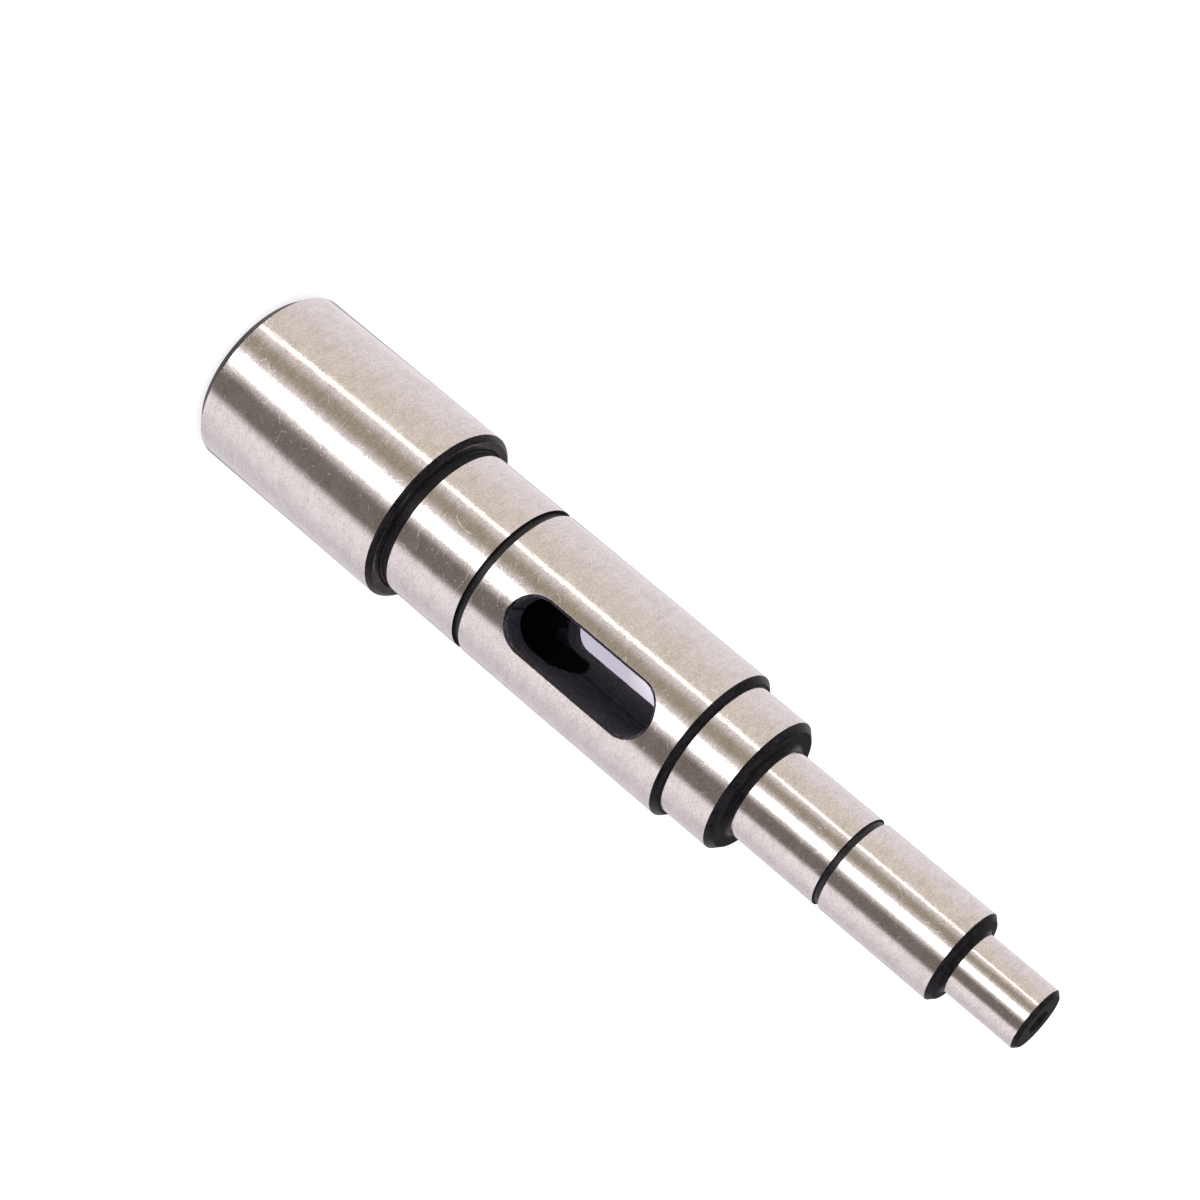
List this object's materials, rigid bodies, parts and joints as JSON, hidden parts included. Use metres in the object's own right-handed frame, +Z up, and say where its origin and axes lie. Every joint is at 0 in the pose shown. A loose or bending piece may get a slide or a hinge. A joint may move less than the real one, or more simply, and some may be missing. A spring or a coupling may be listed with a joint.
{
  "type": "stepped shaft",
  "caption": "Ground steel stepped shaft with bearing and hub seats, retaining ring grooves, a blind socket in the big end and a round-ended cross slot.",
  "frame": {"origin": "centre of the big end's face, which the shaft stands on", "axes": "+Z up the shaft's axis, from the big end to the small end; the slot goes through along Y and its full-width pass faces -Y"},
  "size_m": [0.0294, 0.0294, 0.1521],
  "materials": {
    "ground_steel": "cylindrically ground seats; black oxide left on chamfers, grooves, shoulders, fillets and the slot's walls"
  },
  "bodies": {
    "root": {"stepped_shaft": "ground_steel"}
  },
  "joints": []
}
